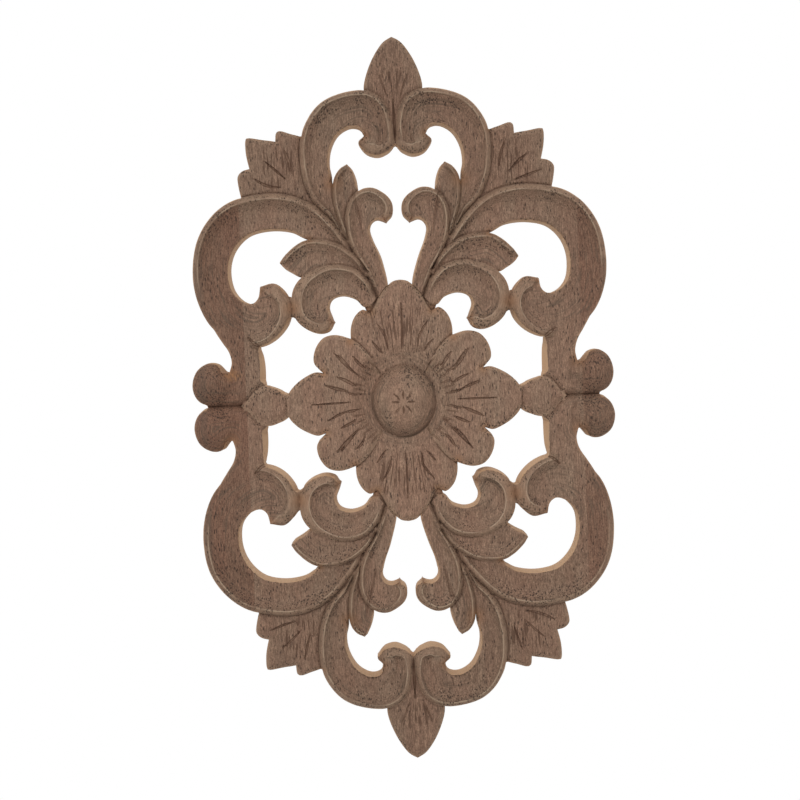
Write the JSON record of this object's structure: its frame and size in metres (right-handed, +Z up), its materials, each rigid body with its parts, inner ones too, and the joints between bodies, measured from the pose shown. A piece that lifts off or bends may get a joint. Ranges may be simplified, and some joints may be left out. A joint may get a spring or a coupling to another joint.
{
  "type": "carved wooden panel",
  "caption": "Pierced wooden onlay carved with a raised flower, scrolls, curling leaves and pointed finials, flat at the back.",
  "frame": {"origin": "on the flat back, behind the middle of the flower", "axes": "+Z up along the panel's length, +X to the right seen from the front, +Y out of the flat back; the carved face looks along -Y"},
  "size_m": [0.1166, 0.01, 0.2],
  "materials": {
    "wood": "bare, unpainted and unwaxed, fine sanded, slightly greyish brown"
  },
  "bodies": {
    "root": {"carved_panel": "wood"}
  },
  "joints": []
}
